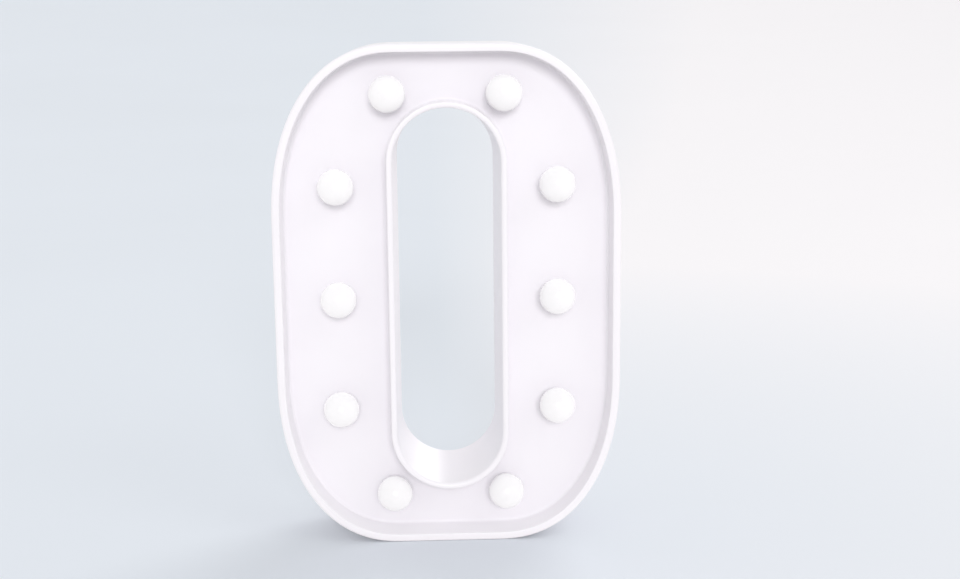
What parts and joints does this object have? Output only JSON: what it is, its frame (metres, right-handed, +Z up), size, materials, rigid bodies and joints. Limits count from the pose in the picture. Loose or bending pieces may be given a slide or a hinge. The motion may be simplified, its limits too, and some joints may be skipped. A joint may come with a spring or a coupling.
{
  "type": "led letter light",
  "caption": "Battery-powered marquee numeral: a white shell with globe bulbs in a recessed tray round an open centre, a hinged battery door and a slide switch behind.",
  "frame": {"origin": "middle of the base that the numeral stands on, under the middle of its depth", "axes": "+Z up along the numeral's height, -Y out of its front, +X to the right seen from the front"},
  "size_m": [0.1506, 0.0478, 0.22],
  "materials": {
    "shell_white": "glossy white moulded plastic",
    "cover_white": "satin white moulded plastic",
    "bulb_milky": "milky white plastic globe",
    "diode_lens": "clear epoxy with a warm phosphor",
    "wire_red": "red insulation",
    "wire_black": "black insulation",
    "contact_steel": "nickel-plated steel",
    "screw_steel": "zinc-plated steel",
    "cell_jacket": "plain dark jacket",
    "switch_black": "black moulded plastic"
  },
  "bodies": {
    "housing": {"front_shell": "shell_white", "back_cover": "cover_white", "bulb_01": "bulb_milky", "bulb_02": "bulb_milky", "bulb_03": "bulb_milky", "bulb_04": "bulb_milky", "bulb_05": "bulb_milky", "bulb_06": "bulb_milky", "bulb_07": "bulb_milky", "bulb_08": "bulb_milky", "bulb_09": "bulb_milky", "bulb_10": "bulb_milky", "led_01": "diode_lens", "led_02": "diode_lens", "led_03": "diode_lens", "led_04": "diode_lens", "led_05": "diode_lens", "led_06": "diode_lens", "led_07": "diode_lens", "led_08": "diode_lens", "led_09": "diode_lens", "led_10": "diode_lens", "wire_bus_positive": "wire_red", "wire_bus_negative": "wire_black", "wire_switch_to_string": "wire_red", "wire_battery_to_switch": "wire_red", "wire_battery_return": "wire_black", "battery_cell_inner": "cell_jacket", "battery_cell_outer": "cell_jacket", "contact_positive": "contact_steel", "contact_negative": "contact_steel", "contact_bridge": "contact_steel", "spring_negative": "contact_steel", "spring_bridge": "contact_steel", "switch_housing": "switch_black", "cover_screw_1": "screw_steel", "cover_screw_2": "screw_steel", "cover_screw_3": "screw_steel", "cover_screw_4": "screw_steel", "cover_screw_5": "screw_steel", "cover_screw_6": "screw_steel"},
    "door": {"battery_door": "cover_white"},
    "switch": {"switch_knob": "switch_black"}
  },
  "joints": [
    {"name": "battery_door_hinge", "type": "hinge", "parent": "housing", "child": "door", "pos_m": [0.04858, 0.02275, 0.0806], "axis": [-1, 0, 0], "range_deg": [0, 75]},
    {"name": "switch_slide", "type": "slide", "parent": "housing", "child": "switch", "axis": [0, 0, 1], "range_m": [0, 0.004]}
  ]
}
